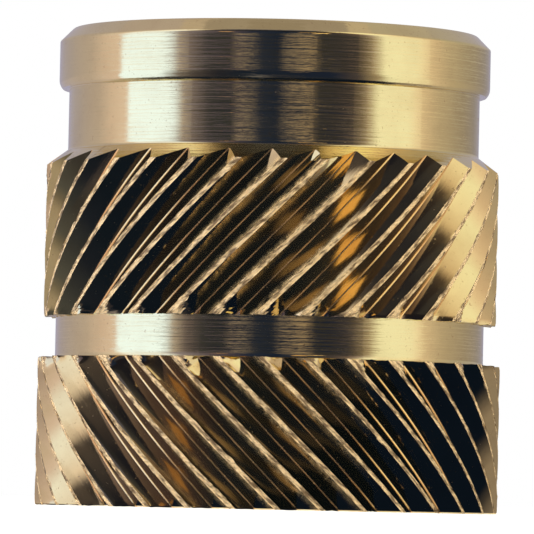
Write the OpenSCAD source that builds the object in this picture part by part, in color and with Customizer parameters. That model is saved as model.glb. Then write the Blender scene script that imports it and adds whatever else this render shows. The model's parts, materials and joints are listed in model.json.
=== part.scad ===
// Threaded insert for thermoplastic: one turned brass piece with two bands of helical
// knurling that lean opposite ways, a relief groove between them and a plain pilot in front.
// It stands on its trailing face, with the pilot up. Millimetres, +Z along its axis.

/* [Knurled band at the trailing end] */
// Diameter over the teeth of the trailing band
trailing_band_d = 7.1; // [6.9:0.05:7.6]
// Length of the trailing band along the axis
trailing_band_length = 2.25; // [1.4:0.05:3.6]
// Number of teeth around the trailing band
trailing_teeth = 33; // [24:1:36]
// Depth of the trailing band's grooves
trailing_groove_depth = 0.195; // [0.12:0.005:0.24]

/* [Knurled band at the leading end] */
// Diameter over the teeth of the leading band
leading_band_d = 6.95; // [6.8:0.05:7.4]
// Length of the leading band along the axis, without its cone
leading_band_length = 2.31; // [1.4:0.05:3.6]
// Number of teeth around the leading band
leading_teeth = 32; // [24:1:36]
// Depth of the leading band's grooves
leading_groove_depth = 0.19; // [0.12:0.005:0.24]
// Length along the axis of the cone that leads into the leading band
lead_in_length = 0.24; // [0.12:0.02:0.5]

/* [Knurl] */
// Angle between the teeth and the insert's axis, the other way on each band
helix_angle = 46; // [20:1:50]
// Included angle of each V groove
groove_angle = 90; // [60:1:100]

/* [Plain sections] */
// How far the relief groove between the bands lies under the deeper of their knurls' roots
relief_under_roots = 0.005; // [0.005:0.005:0.2]
// Length of the relief groove along the axis
relief_length = 0.64; // [0.4:0.02:1.2]
// Diameter of the neck behind the pilot
neck_d = 6.3; // [5.8:0.05:6.5]
// Length of the neck along the axis
neck_length = 0.94; // [0.4:0.02:1.6]
// Diameter of the pilot that centres the insert in its hole
pilot_d = 6.61; // [6.5:0.01:6.75]
// Length of the pilot along the axis, with its chamfer
pilot_length = 0.92; // [0.6:0.02:1.6]
// Leg of the 45 degree chamfer at the pilot's front
pilot_chamfer = 0.2; // [0.05:0.01:0.3]
// Radius that rounds the pilot's back edge
pilot_edge_r = 0.13; // [0.04:0.01:0.15]

/* [Threaded bore] */
// Diameter of the tapped hole at the crests of its thread
bore_d = 4.2; // [3.6:0.02:4.6]
// Nominal diameter of the screw that the thread takes
thread_d = 5; // [4.8:0.1:5.4]
// How much wider than the screw each countersink opens
countersink_over = 0.2; // [0.1:0.05:0.5]

/* [Hidden] */
// Radii at the bottom of the grooves, and of the relief groove that is turned just below them
trailing_root_r = trailing_band_d / 2 - trailing_groove_depth;
leading_root_r = leading_band_d / 2 - leading_groove_depth;
relief_r = min(trailing_root_r, leading_root_r) - relief_under_roots;

// Where each section starts along the axis
relief_z = trailing_band_length;
leading_band_z = relief_z + relief_length;
lead_in_z = leading_band_z + leading_band_length;
neck_z = lead_in_z + lead_in_length;
pilot_z = neck_z + neck_length;
height = pilot_z + pilot_length;

countersink_d = thread_d + countersink_over;
countersink_depth = (countersink_d - bore_d) / 2; // a 90 degree countersink
cut_over = 0.1; // how far each cutter stands clear of the skin that it cuts
groove_step = 4; // turn of a groove between two of its cross-sections, in degrees
trailing_start = 5.6; // angle of the trailing band's first groove, at the trailing face
leading_start = 2.5; // angle of the leading band's first groove, at its lower face
arc_steps = 6; // straight steps that round the pilot's back edge
$fn = 96;

// Points of a quarter round of radius r about (x, z), from straight down to straight out.
function quarter_round(x, z, r) =
    [for (i = [0:arc_steps]) let (a = -90 + 90 * i / arc_steps) [x + r * cos(a), z + r * sin(a)]];

// The turned outline, before knurling.
module turned_blank() {
    pilot_r = pilot_d / 2;
    rotate_extrude()
        polygon(concat(
            [
                [0, 0],
                [trailing_band_d / 2, 0],
                [trailing_band_d / 2, relief_z],
                [relief_r, relief_z],
                [relief_r, leading_band_z],
                [leading_band_d / 2, leading_band_z],
                [leading_band_d / 2, lead_in_z],
                [neck_d / 2, neck_z],
                [neck_d / 2, pilot_z]
            ],
            quarter_round(pilot_r - pilot_edge_r, pilot_z + pilot_edge_r, pilot_edge_r),
            [
                [pilot_r, height - pilot_chamfer],
                [pilot_r - pilot_chamfer, height],
                [0, height]
            ]
        ));
}

// A V-shaped cutter that follows a helix on a band of radius band_r, from z_low to z_high.
// hand is 1 where it climbs to the right and -1 where it climbs to the left; it crosses z_ref at angle 0.
module groove_cutter(band_r, root_r, z_low, z_high, z_ref, hand) {
    over_r = band_r + cut_over;
    half_width = (over_r - root_r) * tan(groove_angle / 2) / cos(helix_angle);
    turn_per_mm = hand * tan(helix_angle) / band_r * 180 / PI;
    steps = max(1, ceil(abs(turn_per_mm) * (z_high - z_low) / groove_step));
    section = [[root_r, 0], [over_r, -half_width], [over_r, half_width]];
    points = [
        for (k = [0:steps])
            let (z = z_low + (z_high - z_low) * k / steps, a = turn_per_mm * (z - z_ref))
            for (p = section) [p[0] * cos(a) - p[1] * sin(a), p[0] * sin(a) + p[1] * cos(a), z]
    ];
    sides = [
        for (k = [0:steps - 1], j = [0:2])
            let (a = 3 * k + j, b = 3 * k + (j + 1) % 3)
            each [[a, a + 3, b], [b, a + 3, b + 3]]
    ];
    polyhedron(points, concat([[0, 1, 2]], sides, [[3 * steps, 3 * steps + 2, 3 * steps + 1]]));
}

// All the grooves of one band.
module knurl(teeth, start, band_r, root_r, z_low, z_high, z_ref, hand) {
    for (i = [0:teeth - 1])
        rotate([0, 0, start + 360 * i / teeth])
            groove_cutter(band_r, root_r, z_low, z_high, z_ref, hand);
}

// The tapped hole, plain at the thread's crests, with a countersink at each end.
module threaded_bore() {
    translate([0, 0, -cut_over]) cylinder(h = height + 2 * cut_over, d = bore_d);
    translate([0, 0, -cut_over])
        cylinder(h = countersink_depth + cut_over, d1 = countersink_d + 2 * cut_over, d2 = bore_d);
    translate([0, 0, height - countersink_depth])
        cylinder(h = countersink_depth + cut_over, d1 = bore_d, d2 = countersink_d + 2 * cut_over);
}

module insert() {
    relief_middle = relief_z + relief_length / 2;
    color("darkgoldenrod")
        difference() {
            turned_blank();
            knurl(trailing_teeth, trailing_start, trailing_band_d / 2, trailing_root_r,
                  -cut_over, relief_middle, 0, -1);
            knurl(leading_teeth, leading_start, leading_band_d / 2, leading_root_r,
                  relief_middle, neck_z + cut_over, leading_band_z, 1);
            threaded_bore();
        }
}

insert();
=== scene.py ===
"""A brass threaded insert for thermoplastic: the finish of its turned sections, knurls and tapped bore.

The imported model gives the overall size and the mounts; the operators below build one detailed
piece over it and a small studio around it. Lengths in the properties are in metres. While a mesh
is being modelled it is in millimetres, and it is scaled to metres at the end.
"""

import json
from itertools import accumulate
from math import atan2, ceil, cos, degrees, floor, hypot, pi, radians, remainder, sin, sqrt, tan
from types import SimpleNamespace

import bmesh
import bpy
from bpy.props import FloatProperty, FloatVectorProperty, IntProperty, PointerProperty
from mathutils import Matrix, Vector, noise


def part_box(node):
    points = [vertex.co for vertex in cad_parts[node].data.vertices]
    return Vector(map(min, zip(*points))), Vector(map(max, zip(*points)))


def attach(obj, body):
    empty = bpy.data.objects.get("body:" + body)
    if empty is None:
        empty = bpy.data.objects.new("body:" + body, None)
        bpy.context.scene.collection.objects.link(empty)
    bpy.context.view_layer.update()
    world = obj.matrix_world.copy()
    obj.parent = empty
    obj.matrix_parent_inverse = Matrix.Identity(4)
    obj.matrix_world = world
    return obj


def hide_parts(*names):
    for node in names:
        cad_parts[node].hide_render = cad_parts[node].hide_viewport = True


bl_info = {
    "name": "Threaded Insert",
    "version": (1, 0, 0),
    "blender": (4, 5, 0),
    "location": "View3D > Sidebar > Insert",
    "description": "Builds a knurled brass threaded insert and a small studio for it",
    "category": "Add Mesh",
}

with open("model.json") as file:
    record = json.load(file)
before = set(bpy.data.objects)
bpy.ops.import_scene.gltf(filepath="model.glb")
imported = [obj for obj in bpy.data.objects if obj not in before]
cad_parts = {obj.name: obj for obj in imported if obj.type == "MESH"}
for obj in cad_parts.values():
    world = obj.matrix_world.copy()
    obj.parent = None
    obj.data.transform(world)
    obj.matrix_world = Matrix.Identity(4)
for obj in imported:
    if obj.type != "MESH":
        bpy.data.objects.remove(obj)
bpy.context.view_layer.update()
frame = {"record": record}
LOW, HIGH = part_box("insert")
MOUNTS = {mount["name"]: mount for mount in frame["record"]["mounts"]}
MM = 0.001

# The vertex layer that says where on its tooth a knurl's vertex belongs: 0 at a groove's root, 1 and
# -1 at the edges of the teeth beside it, and from 1 to 2 over the land.
ACROSS = "across"
GRAIN_MAP = "grain"  # the UV map that drag lines follow

# The mesh's material slots.
TURNED, FLANK, ROOT, CREST, BORE = range(5)

# Shares of the way from a groove's root to the tooth's edge at which its flank has a vertex,
# and of the way over the land.
ROOT_FLAT = 0.045
FLANK_STOPS = (ROOT_FLAT, 0.3, 0.5, 0.7, 0.88, 0.965, 1.0)
LAND_STOPS = (0.3, 0.7)
CREST_FROM = 0.96  # the share from which a flank's edge is worn like the crest
FLARED = -1.5  # the place of a vertex under a tooth's flare, which makes it part of the crest
TRAILING_LEVELS, LEADING_LEVELS = 56, 60  # cross-sections along each band
TRAILING_START, LEADING_START = radians(5.6), radians(2.5)  # of each band's first groove

SEED_STEPS = (7.3, 3.1, 11.7)  # how far apart in the noise two seeds lie, along each axis
# Noise that wears the crests, in layers of (size in mm, weight, seed): how far the edges of the lands
# wander, and how high the lands are frayed.
EDGE_WANDER = ((0.3, 1.0, 0), (0.07, 0.8, 1))
LAND_FRAY = ((0.09, 0.6, 1), (0.035, 0.5, 2))
NEAR_SIDE_SEED, FAR_SIDE_SEED = 3, 13  # added to the seeds along a land's two edges
HIGHEST_FRAY = 0.7  # share of a burr that stands up at most
MIDDLE_FRAY = 0.35  # how frayed the middle of a land is, against its edges
RIM_NOISE, RIM_SEED = 0.05, 6  # size in mm and seed of the noise that makes the bands' rims ragged
LAND_BREAK, FLANK_BREAK = 0.6, 0.25  # shares of the edge break by which a rim lies lower

# Where the trailing band's crests are dragged aside most, as an angle about the axis, how far around
# that goes on, in degrees, and the share of the flank from which it starts.
DRAGGED_AT, DRAGGED_REACH, DRAGGED_FROM = -105, 42, 0.85
# Azimuth in degrees of the tooth whose end is folded, how far down it the fold goes, in mm, how
# sharply it sets in, and the shares of the flank between which it grows. Azimuth 0 is the front.
FOLD_AZIMUTH, FOLD_REACH, FOLD_CURVE = 9.0, 1.2, 1.5
FOLD_FROM, FOLD_FULL = 0.5, 0.9
# Nicks that push a land's edge over the groove: azimuth in degrees, height and size in mm.
NICKS = (
    (-34.5, 4.18, 0.11), (-17.7, 5.10, 0.10), (-12.2, 5.15, 0.08), (-21.6, 3.07, 0.10),
    (35.0, 3.10, 0.09), (46.0, 3.05, 0.09), (37.5, 4.77, 0.08), (-43.0, 1.15, 0.08),
    (12.0, 1.60, 0.08), (-8.0, 0.75, 0.09), (28.0, 1.05, 0.08), (58.0, 1.30, 0.08),
)
NICK_PUSH = 0.5  # share of its size by which a nick pushes the edge
# A flare's width against the one that is set: its mean, and the change that noise gives it, with
# FLARE_CHANGES features per radian.
FLARE_MEAN, FLARE_VARIES, FLARE_CHANGES, FLARE_SEED = 0.9, 0.5, 9, 4
FLARE_FALL = 0.1  # mm that a flare falls for each mm beside its land
FLARE_RISE, FLARE_EDGE = 0.07, 0.05  # mm inside its rim where it is full, and where it becomes crest
RUN_OUT_STEP, RUN_OUT_SLOPE = 0.004, 0.35  # mm from the relief up to the roots' ends, and their fall

# Rings and corners of the turned outline, in mm unless said otherwise.
TOUCHING = 1e-4  # apart, under which two places are the same
CROWDED = 0.008  # between the points of a ring, under which they are joined
MARGIN = 0.002  # by which a face clears the region beside its own
HOLD = 0.02  # from a corner to the ring that keeps the face beside it straight
INSIDE_ROOTS = 0.06  # from the roots inwards to the end face's first ring
FILLET = 0.05  # radius in the relief's lower corner
SOFT = 0.014  # size of the pilot's softened corners
CORNER, CORNER_DROP = 0.012, 0.009  # size of the neck's corners, and how far one goes down the cone
CONE_HOLD = 0.7  # share of HOLD that the ring on the cone lies lower
ARC_MIDDLE = 0.3  # share of its size by which a corner's middle point lies in from both sides
SOFT_OVER = 0.4  # share of its size by which the front corner ends past the chamfer
EDGE_TURN = radians(44)  # how far the pilot's back edge turns inwards before the flat
EDGE_STEPS = 6  # straight steps that round it
SHARP_FROM = radians(34)  # the bend from which an edge is shaded sharp
END_FACE = 0.95  # the z of a face's normal from which it belongs to an end face

THREAD_ANGLE = radians(60)
THREAD_START = radians(5)  # where the thread's root crosses the trailing face
THREAD_STEPS, THREAD_COLUMNS = 4, 64  # along a flank, and around the bore
SPARE_TURNS = 3  # of the thread, which are cut off at its ends

# The grain map's scale along a tooth, and its radius in mm elsewhere.
ALONG_TEETH, GRAIN_R = 1.4, 3.3
INWARDS = 1.7  # how fast turning marks follow each other inwards, against along the axis


# ---------------------------------------------------------------------------------------------
# Properties
# ---------------------------------------------------------------------------------------------


def length_property(name, description, millimetres, low=0.0):
    """A length in metres, whose default is given in millimetres."""
    return FloatProperty(
        name=name,
        description=description,
        default=millimetres * MM,
        min=low,
        precision=5,
        subtype="DISTANCE",
        unit="LENGTH",
    )


def colour_property(name, description, colour):
    return FloatVectorProperty(
        name=name, description=description, default=colour, size=3, min=0.0, max=1.0, subtype="COLOR"
    )


def share_property(name, description, default, high=1.0):
    return FloatProperty(
        name=name, description=description, default=default, min=0.0, max=high, subtype="FACTOR"
    )


class InsertSizes(bpy.types.PropertyGroup):
    trailing_band_d: length_property(
        "Trailing band diameter", "Diameter over the trailing band's teeth", (HIGH.x - LOW.x) / MM
    )
    trailing_band_length: length_property("Trailing band length", "Length along the axis", 2.25)
    trailing_groove_depth: length_property("Trailing groove depth", "Depth of its grooves", 0.195)
    trailing_teeth: IntProperty(
        name="Trailing teeth", description="Teeth around the trailing band", default=33, min=12
    )
    leading_band_d: length_property(
        "Leading band diameter", "Diameter over the leading band's teeth", 6.95
    )
    leading_band_length: length_property("Leading band length", "Length up to its cone", 2.31)
    leading_groove_depth: length_property("Leading groove depth", "Depth of its grooves", 0.19)
    leading_teeth: IntProperty(
        name="Leading teeth", description="Teeth around the leading band", default=32, min=12
    )
    lead_in_length: length_property("Lead-in length", "Length of the cone over the band", 0.24)
    helix_angle: FloatProperty(
        name="Helix angle",
        description="Angle between the teeth and the axis",
        default=radians(46),
        subtype="ANGLE",
        unit="ROTATION",
    )
    groove_angle: FloatProperty(
        name="Groove angle",
        description="Included angle of each V groove",
        default=radians(90),
        subtype="ANGLE",
        unit="ROTATION",
    )
    relief_d: length_property("Relief diameter", "Diameter of the groove between the bands", 6.56)
    relief_length: length_property("Relief length", "Length of that groove", 0.64)
    neck_d: length_property("Neck diameter", "Diameter behind the pilot", 6.3)
    pilot_d: length_property(
        "Pilot diameter", "Diameter of the pilot", 2 * MOUNTS["pilot"]["dims"]["r_mm"]
    )
    pilot_length: length_property("Pilot length", "Length with its chamfer", 0.92)
    pilot_chamfer: length_property("Pilot chamfer", "Leg of the chamfer at the front", 0.2)
    pilot_edge_r: length_property("Pilot edge radius", "Round of the pilot's back edge", 0.13)
    bore_d: length_property(
        "Bore diameter", "Diameter at the thread's crests", 2 * MOUNTS["thread"]["dims"]["r_mm"]
    )
    thread_d: length_property("Thread diameter", "Diameter at the thread's roots", 5.0)
    thread_pitch: length_property("Thread pitch", "Advance of the thread in one turn", 0.8)
    countersink_over: length_property(
        "Countersink over", "How much wider than the screw each countersink opens", 0.2
    )


class InsertWear(bpy.types.PropertyGroup):
    rolled_deeper: length_property(
        "Rolled deeper", "How much deeper than nominal the grooves are rolled", 0.031
    )
    burr_room: length_property("Burr room", "How far crests lie below the full diameter", 0.014)
    burr: length_property("Burr", "Raggedness of the crests' edges", 0.028)
    flare: length_property("Flare", "How wide the teeth flare where they meet the relief", 0.25)
    dragged: length_property("Dragged", "How far handling has dragged the crests aside", 0.02)
    fold: length_property("Fold", "How far the folded tooth's end leans over", 0.07)
    edge_break: length_property("Edge break", "Width of the small broken edges", 0.03)


class InsertFinish(bpy.types.PropertyGroup):
    brass: colour_property("Brass", "Clean brass", (0.88, 0.74, 0.40))
    rolled_brass: colour_property("Rolled brass", "Burnished brass in the grooves", (0.78, 0.62, 0.34))
    root_brass: colour_property("Root brass", "Stained brass along the grooves' roots", (0.94, 0.61, 0.27))
    crest_brass: colour_property("Crest brass", "Rough brass on the teeth's crests", (1.0, 0.79, 0.46))
    # Painted sheen: the golden colour given to the scuffed flanks' edges on the insert's front.
    worn_brass: colour_property("Painted sheen brass", "Brass painted as a golden sheen beside the crests", (0.95, 0.66, 0.34))
    tarnish: colour_property("Tarnish", "Stains on the brass", (0.50, 0.32, 0.16))
    turned_roughness: share_property("Turned roughness", "Of the turned sections", 0.08)
    flank_roughness: share_property("Flank roughness", "Of the grooves' flanks", 0.07)
    crest_roughness: share_property("Crest roughness", "Of the teeth's crests", 0.38)
    mark_spacing: length_property("Mark spacing", "Distance between two turning marks", 0.046)


class InsertStudio(bpy.types.PropertyGroup):
    camera_distance: length_property("Camera distance", "From the insert's axis", 95.08)
    camera_height: length_property("Camera height", "Over the floor", 0.17)
    aim_height: length_property("Aim height", "Height on the axis that the camera looks at", 3.718)
    aim_side: FloatProperty(
        name="Aim side",
        description="How far to the right of the axis the camera looks",
        default=-0.0597 * MM,
        precision=6,
        subtype="DISTANCE",
        unit="LENGTH",
    )
    camera_field: FloatProperty(
        name="Field of view",
        description="Angle across the camera's view",
        default=radians(4.931),
        subtype="ANGLE",
        unit="ROTATION",
    )
    camera_roll: FloatProperty(
        name="Camera roll",
        description="How far the insert leans to the right in the view",
        default=radians(1.25),
        subtype="ANGLE",
        unit="ROTATION",
    )
    tent_radius: length_property("Tent radius", "Radius of the light tent", 220.0)
    floor_size: length_property("Floor size", "Width of the floor", 800.0)
    paper: colour_property("Paper", "Floor and background", (1.0, 1.0, 1.0))


# ---------------------------------------------------------------------------------------------
# The turned and knurled body
# ---------------------------------------------------------------------------------------------


def in_mm(settings):
    """The lengths among a group's settings, in millimetres."""
    lengths = [p.identifier for p in settings.bl_rna.properties if p.unit == "LENGTH"]
    return SimpleNamespace(**{name: getattr(settings, name) / MM for name in lengths})


class Knurl:
    """One knurled band, in millimetres."""

    def __init__(self, band_r, depth, teeth, low_z, high_z, hand, start, sizes):
        self.band_r = band_r
        self.root_r = band_r - depth
        self.teeth = teeth
        self.pitch = 2 * pi / teeth
        self.low_z = low_z
        self.high_z = high_z
        self.length = high_z - low_z
        self.top_z = high_z + depth  # as high as its teeth reach, on a cone too
        self.start = start
        # Width of a groove per depth, measured around the band.
        self.spread = tan(sizes.groove_angle / 2) / cos(sizes.helix_angle)
        self.hand = hand  # 1 where it climbs to the right, -1 where it climbs to the left
        self.turn_per_mm = hand * tan(sizes.helix_angle) / band_r
        # The number of the tooth whose end is folded, on the band that climbs to the right.
        self.folded = self.tooth_at(radians(FOLD_AZIMUTH - 90), high_z) if hand > 0 else None

    def edge(self):
        """Depth and half width at which a flank meets the band's full radius."""
        steep = 1 + self.spread**2
        inner = self.root_r**2 - steep * (self.root_r**2 - self.band_r**2)
        depth = (sqrt(inner) - self.root_r) / steep
        return depth, depth * self.spread

    def tooth_at(self, angle, height):
        """The number of the tooth at a place on the band."""
        unturned = angle - self.start - self.turn_per_mm * (height - self.low_z)
        return floor(unturned / self.pitch) % self.teeth

    def tooth_points(self):
        """Radius, angle and place across for each point from one root to the next."""
        depth, half_width = self.edge()
        flank = []
        for stop in (0.0, *FLANK_STOPS):
            x, y = self.root_r + depth * max(stop, ROOT_FLAT), half_width * stop
            flank.append((hypot(x, y), atan2(y, x), stop))
        edge_angle = flank[-1][1]
        width = self.pitch - 2 * edge_angle
        land = [(self.band_r, edge_angle + width * stop, 1 + stop) for stop in LAND_STOPS]
        back = [(r, self.pitch - angle, -stop) for r, angle, stop in reversed(flank)]
        return [*flank, *land, *back]


def ramp(value, start, end):
    """How far a value has come from start to end, held between 0 and 1."""
    return max(0.0, min(1.0, (value - start) / (end - start)))


def speckle(point, scale, seed):
    """Smooth noise from -1 to 1 at a point, with features of about the given size."""
    return noise.noise(Vector(point) / scale + Vector([seed * step for step in SEED_STEPS]))


def layered(point, layers, seed=0):
    """Noise at a point, summed over layers of (size, weight, seed)."""
    return sum(weight * speckle(point, size, seed + own_seed) for size, weight, own_seed in layers)


def added_to(bm, before):
    """The vertices, edges and faces of the mesh beyond those of the vertices in before."""
    verts = [v for v in bm.verts if v not in before]
    edges = [e for e in bm.edges if e.verts[0] not in before]
    faces = [f for f in bm.faces if f.verts[0] not in before]
    return verts, edges, faces


def add_knurl(bm, knurl, levels):
    """Sweeps a knurl's outline around the axis and along its helix, and returns its vertices."""
    across = bm.verts.layers.float[ACROSS]
    before = set(bm.verts)
    tooth = []
    for radius, angle, stop in knurl.tooth_points():
        vert = bm.verts.new((radius * cos(angle), radius * sin(angle), knurl.low_z))
        vert[across] = stop
        tooth.append(vert)
    edges = [bm.edges.new(pair) for pair in zip(tooth, tooth[1:])]
    bmesh.ops.rotate(bm, verts=tooth, matrix=Matrix.Rotation(knurl.start, 3, "Z"))
    others = knurl.teeth - 1
    bmesh.ops.spin(
        bm, geom=tooth + edges, axis=(0, 0, 1), angle=knurl.pitch * others, steps=others,
        use_duplicate=True,
    )
    bmesh.ops.remove_doubles(bm, verts=added_to(bm, before)[0], dist=TOUCHING)
    ring, edges, _ = added_to(bm, before)
    bmesh.ops.spin(
        bm, geom=ring + edges, axis=(0, 0, 1), dvec=(0, 0, knurl.length / levels),
        angle=knurl.turn_per_mm * knurl.length, steps=levels,
    )
    return added_to(bm, before)[0]


def open_ring(bm, height):
    """The open edges of the mesh that lie at a height."""
    return [
        e for e in bm.edges if e.is_boundary and all(abs(v.co.z - height) < TOUCHING for v in e.verts)
    ]


def unfold_ring(bm, height):
    """Puts the points of the open ring at a height in order of angle, and joins crowded ones.

    Worn teeth can step back over their neighbour, and a face carried from there would be folded.
    """
    ring = open_ring(bm, height)
    left = set(ring)
    vert = ring[0].verts[0]
    points = []
    while left:
        points.append(vert)
        edge = next(e for e in vert.link_edges if e in left)
        left.remove(edge)
        vert = edge.other_vert(vert)
    angles = [atan2(point.co.y, point.co.x) for point in points]
    steps = [remainder(after - before, 2 * pi) for before, after in zip(angles, angles[1:])]
    turns = list(accumulate(steps, initial=angles[0]))
    turns.sort(reverse=sum(steps) < 0)
    for point, angle in zip(points, turns):
        radius = hypot(point.co.x, point.co.y)
        point.co = (radius * cos(angle), radius * sin(angle), height)
    bmesh.ops.remove_doubles(bm, verts=points, dist=CROWDED)


def carry_ring(bm, ring, outline):
    """Carries an open ring through the (radius, height) points of a turned outline."""
    for number, (radius, height) in enumerate(outline):
        grown = bmesh.ops.extrude_edge_only(bm, edges=ring)["geom"]
        for vert in (g for g in grown if isinstance(g, bmesh.types.BMVert)):
            scale = radius / hypot(vert.co.x, vert.co.y)
            vert.co = (vert.co.x * scale, vert.co.y * scale, height)
        if number == 0:
            unfold_ring(bm, height)
        ring = open_ring(bm, height)
    return ring


def handled_angle(knurl, place, radius, angle, height, wear):
    """The angle of a point of the teeth after handling.

    It has dragged crests of the trailing band to the right, and folded one tooth of the leading
    band to the left.
    """
    if knurl.hand < 0 and place < 0:
        off_centre = remainder(degrees(angle) - DRAGGED_AT, 360) / DRAGGED_REACH
        towards_crest = ramp(-place, DRAGGED_FROM, 1.0)
        angle += wear.dragged * towards_crest * max(0.0, 1 - off_centre**2) / radius
    if knurl.tooth_at(angle, height) == knurl.folded:
        fold = max(0.0, 1 - (knurl.high_z - height) / FOLD_REACH)
        towards_crest = ramp(abs(place), FOLD_FROM, FOLD_FULL)
        angle -= wear.fold * towards_crest * fold**FOLD_CURVE / radius
    return angle


def nicked_angle(place, radius, angle, height):
    """The angle of a point on a land's edge, after the nicks near it have pushed it aside."""
    over_groove = -1 if place > 0 else 1
    for azimuth, nick_height, size in NICKS:
        aside = radians(remainder(degrees(angle) + 90 - azimuth, 360)) * radius
        near = 1 - hypot(aside, height - nick_height) / size
        if near > 0:
            angle += over_groove * NICK_PUSH * size * near / radius
    return angle


def wear_knurl(knurl, band, across, wear, relief_r, relief_z, cone=None):
    """Frays, drags and flares the teeth of a band beside a relief groove.

    relief_z is the height where the groove starts. cone gives the lead-in's height at a radius.
    """
    full_width = knurl.edge()[1]
    towards_relief = 1 if relief_z > knurl.low_z else -1
    for vert in band:
        place = vert[across]
        point = vert.co.copy()
        height = point.z
        radius = hypot(point.x, point.y)
        angle = atan2(point.y, point.x)
        share = (height - knurl.low_z) / knurl.length
        from_relief = abs(height - relief_z)
        on_land = abs(place) >= 1
        on_edge = abs(place) == 1

        # Crests lie a little under the full diameter. Their edges wander and fray.
        if on_land:
            radius -= wear.burr_room
            fray = min(HIGHEST_FRAY, max(-1.0, layered(point, LAND_FRAY)))
            radius += wear.burr * (1.0 if on_edge else MIDDLE_FRAY) * fray
        if on_edge:
            side_seed = NEAR_SIDE_SEED if place > 0 else FAR_SIDE_SEED
            angle += wear.burr * layered(point, EDGE_WANDER, side_seed) / radius
        angle = handled_angle(knurl, place, radius, angle, height, wear)
        if on_edge:
            angle = nicked_angle(place, radius, angle, height)

        # Where a tooth meets the relief groove, its land spreads over the sharp corner beside it.
        if -1 <= place < 0:
            beside = (1 + place) * full_width
            change = speckle((angle * FLARE_CHANGES, 0, knurl.low_z), 1.0, FLARE_SEED)
            spread = wear.flare * (FLARE_MEAN + FLARE_VARIES * change) - from_relief - beside
            if spread > 0:
                land_r = knurl.band_r - wear.burr_room - FLARE_FALL * beside
                radius += (max(radius, land_r) - radius) * ramp(spread, 0.0, FLARE_RISE)
            if spread > FLARE_EDGE:
                vert[across] = FLARED

        # The roots run out just over the relief groove.
        radius = max(radius, relief_r + RUN_OUT_STEP - RUN_OUT_SLOPE * from_relief)

        # The rims are broken: small burrs hang over the relief groove, and the trailing face's
        # rim is ragged.
        at_relief = from_relief < TOUCHING
        if at_relief or (share < TOUCHING and cone is None):
            radius -= wear.edge_break * (LAND_BREAK if on_land else FLANK_BREAK)
            ragged = abs(speckle(point, RIM_NOISE, RIM_SEED))
            height += ragged * wear.burr * (towards_relief if at_relief else 1)

        if cone is not None:
            coned = knurl.low_z + share * (cone(radius) - knurl.low_z) + height - point.z
            angle += knurl.turn_per_mm * (coned - height)
            height = coned
        vert.co = (radius * cos(angle), radius * sin(angle), height)


def relief_corner(relief_r, relief_z):
    """The (radius, height) points of the relief groove's lower corner."""
    return [
        (relief_r + FILLET, relief_z),
        (relief_r + FILLET * ARC_MIDDLE, relief_z + FILLET * ARC_MIDDLE),
        (relief_r, relief_z + FILLET),
        (relief_r, relief_z + FILLET + HOLD),
    ]


def head_outline(mm, neck_z, height, mouth_r):
    """The (radius, height) points of the neck and the pilot, from the cone to the bore's mouth."""
    neck_r = mm.neck_d / 2
    pilot_r = mm.pilot_d / 2
    pilot_z = height - mm.pilot_length
    rise = mm.pilot_edge_r
    edge_r = rise / sin(EDGE_TURN)
    turns = [EDGE_TURN * (i / EDGE_STEPS - 1) for i in range(EDGE_STEPS + 1)]
    chamfer = mm.pilot_chamfer
    soft_r = pilot_r - SOFT * ARC_MIDDLE
    soft_z = height - chamfer + SOFT * ARC_MIDDLE
    return [
        (neck_r + CORNER + HOLD, neck_z - CORNER_DROP - HOLD * CONE_HOLD),
        (neck_r + CORNER, neck_z - CORNER_DROP),
        (neck_r, neck_z + CORNER),
        (neck_r, neck_z + CORNER + HOLD),
        (neck_r, pilot_z - CORNER - HOLD),
        (neck_r, pilot_z - CORNER),
        (neck_r + CORNER, pilot_z),
        *((pilot_r - edge_r + edge_r * cos(a), pilot_z + rise + edge_r * sin(a)) for a in turns),
        (pilot_r, pilot_z + rise + HOLD),
        (pilot_r, height - chamfer - SOFT - HOLD),
        (pilot_r, height - chamfer - SOFT),
        (soft_r, soft_z),
        (soft_r - HOLD, soft_z + HOLD),
        (pilot_r - chamfer + SOFT + HOLD, height - SOFT - HOLD),
        (pilot_r - chamfer + SOFT, height - SOFT),
        (pilot_r - chamfer - SOFT * SOFT_OVER, height),
        (mouth_r, height),
    ]


def thread_turn(bore_r, thread_r, pitch):
    """The (height, radius) points of one turn of the thread, and the height of its root's middle."""
    depth = thread_r - bore_r
    flank = depth * tan(THREAD_ANGLE / 2)
    root_flat = pitch / 8
    crest_flat = pitch - root_flat - 2 * flank
    root_start = crest_flat + flank
    points = [(0.0, bore_r), (crest_flat / 2, bore_r), (crest_flat, bore_r)]
    points += [
        (crest_flat + flank * i / THREAD_STEPS, bore_r + depth * i / THREAD_STEPS)
        for i in range(1, THREAD_STEPS + 1)
    ]
    points += [
        (root_start + root_flat + flank * i / THREAD_STEPS, thread_r - depth * i / THREAD_STEPS)
        for i in range(THREAD_STEPS)
    ]
    return points, root_start + root_flat / 2


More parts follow.
